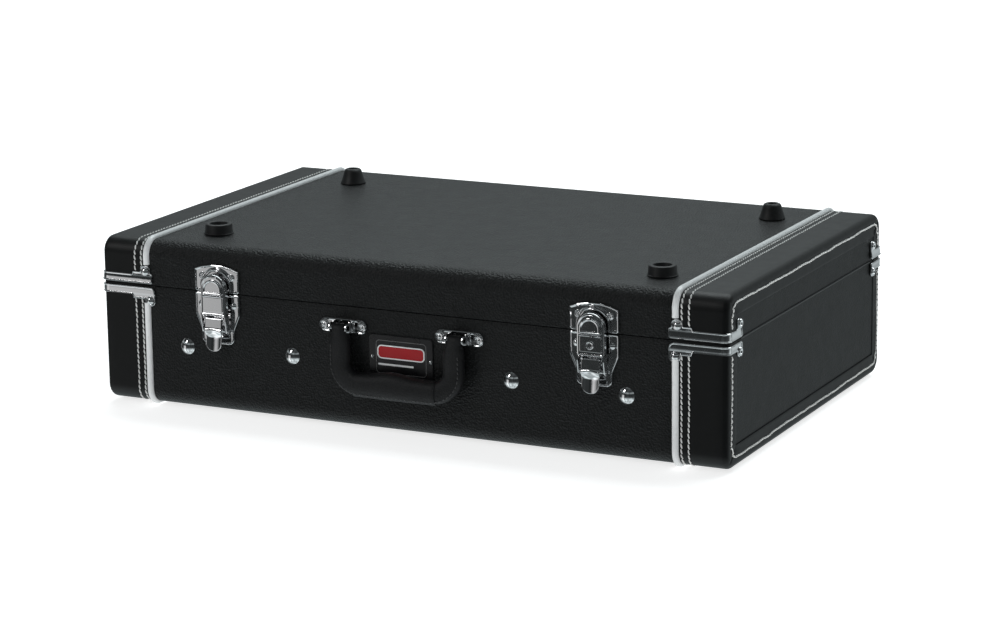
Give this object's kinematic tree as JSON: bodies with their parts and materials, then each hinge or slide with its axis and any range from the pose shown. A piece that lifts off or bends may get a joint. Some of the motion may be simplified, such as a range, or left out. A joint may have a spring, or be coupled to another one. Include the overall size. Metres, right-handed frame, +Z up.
{
  "type": "pedalboard case",
  "caption": "Hard pedalboard case: deep padded cover and hinged board half with rubber feet, two draw latches, one with a lock, and a carrying handle.",
  "frame": {"origin": "on the surface the case rests on, under the middle of the whole footprint, handle and hinges included", "axes": "+X to the right along the front with the handle, +Y to the back with the hinges, +Z up through the board half"},
  "size_m": [0.5058, 0.3304, 0.1382],
  "materials": {
    "plywood": "satin",
    "grained_vinyl": "fine grained matte vinyl",
    "smooth_vinyl": "smooth satin vinyl",
    "white_piping": "gloss",
    "handle_vinyl": "satin",
    "badge_black": "gloss",
    "red_enamel": "gloss",
    "foot_rubber": "matte",
    "plush_lining": "plush",
    "loop_fabric": "loop pile",
    "chrome_plate": "polished"
  },
  "bodies": {
    "cover": {"cover_wrap_panel": "plywood", "cover_end_panel_left": "plywood", "cover_end_panel_right": "plywood", "cover_skin": "grained_vinyl", "cover_band_left": "smooth_vinyl", "cover_band_right": "smooth_vinyl", "cover_end_skin_left": "grained_vinyl", "cover_end_skin_right": "grained_vinyl", "cover_piping_left": "white_piping", "cover_piping_right": "white_piping", "cover_corner_clasps": "chrome_plate", "cover_clasp_rivets": "chrome_plate", "latch_base_left": "chrome_plate", "latch_base_right": "chrome_plate", "latch_base_rivets": "chrome_plate", "latch_lever_pins": "chrome_plate", "handle_plates": "chrome_plate", "handle_plate_rivets": "chrome_plate", "handle_pins": "chrome_plate", "badge_plate": "badge_black", "badge_label": "red_enamel", "badge_rivets": "chrome_plate", "dome_rivets": "chrome_plate", "cover_floor_pad": "plush_lining", "cover_wall_lining": "plush_lining", "hinge_cover_leaves": "chrome_plate", "hinge_pins": "chrome_plate", "hinge_cover_rivets": "chrome_plate"},
    "board": {"board_wrap_panel": "plywood", "board_end_panel_left": "plywood", "board_end_panel_right": "plywood", "board_skin": "grained_vinyl", "board_band_left": "smooth_vinyl", "board_band_right": "smooth_vinyl", "board_end_skin_left": "grained_vinyl", "board_end_skin_right": "grained_vinyl", "board_piping_left": "white_piping", "board_piping_right": "white_piping", "board_corner_clasps": "chrome_plate", "board_clasp_rivets": "chrome_plate", "latch_keepers": "chrome_plate", "keeper_screws": "chrome_plate", "front_feet": "foot_rubber", "rear_feet": "foot_rubber", "foot_screws": "chrome_plate", "deck_covering": "loop_fabric", "hinge_board_leaves": "chrome_plate", "hinge_board_rivets": "chrome_plate"},
    "handle": {"handle": "handle_vinyl"},
    "left_lever": {"latch_lever_left": "chrome_plate", "latch_hasp_pin_left": "chrome_plate"},
    "right_lever": {"latch_lever_right": "chrome_plate", "latch_hasp_pin_right": "chrome_plate"},
    "left_hasp": {"latch_hasp_left": "chrome_plate"},
    "right_hasp": {"latch_hasp_right": "chrome_plate"},
    "lock": {"lock_cylinder": "chrome_plate"}
  },
  "joints": [
    {"name": "case_hinge", "type": "hinge", "parent": "cover", "child": "board", "pos_m": [0, 0.1622, 0.0926], "axis": [-1, 0, 0], "range_deg": [0, 180]},
    {"name": "handle_swing", "type": "hinge", "parent": "cover", "child": "handle", "pos_m": [0, -0.1552, 0.0779], "axis": [-1, 0, 0], "range_deg": [0, 165]},
    {"name": "left_lever_swing", "type": "hinge", "parent": "cover", "child": "left_lever", "pos_m": [-0.151, -0.1522, 0.0724], "axis": [-1, 0, 0], "range_deg": [0, 95]},
    {"name": "left_hasp_swing", "type": "hinge", "parent": "left_lever", "child": "left_hasp", "pos_m": [-0.151, -0.1522, 0.0654], "axis": [-1, 0, 0], "range_deg": [-125, 0]},
    {"name": "right_lever_swing", "type": "hinge", "parent": "cover", "child": "right_lever", "pos_m": [0.151, -0.1522, 0.0724], "axis": [-1, 0, 0], "range_deg": [0, 95]},
    {"name": "right_hasp_swing", "type": "hinge", "parent": "right_lever", "child": "right_hasp", "pos_m": [0.151, -0.1522, 0.0654], "axis": [-1, 0, 0], "range_deg": [-125, 0]},
    {"name": "lock_turn", "type": "hinge", "parent": "right_hasp", "child": "lock", "pos_m": [0.151, -0.1552, 0.0847], "axis": [0, -1, 0], "range_deg": [0, 90]}
  ],
  "couplings": [
    {"joint": "left_hasp_swing", "follows": "left_lever_swing", "ratio": -1.3},
    {"joint": "right_hasp_swing", "follows": "right_lever_swing", "ratio": -1.3}
  ]
}
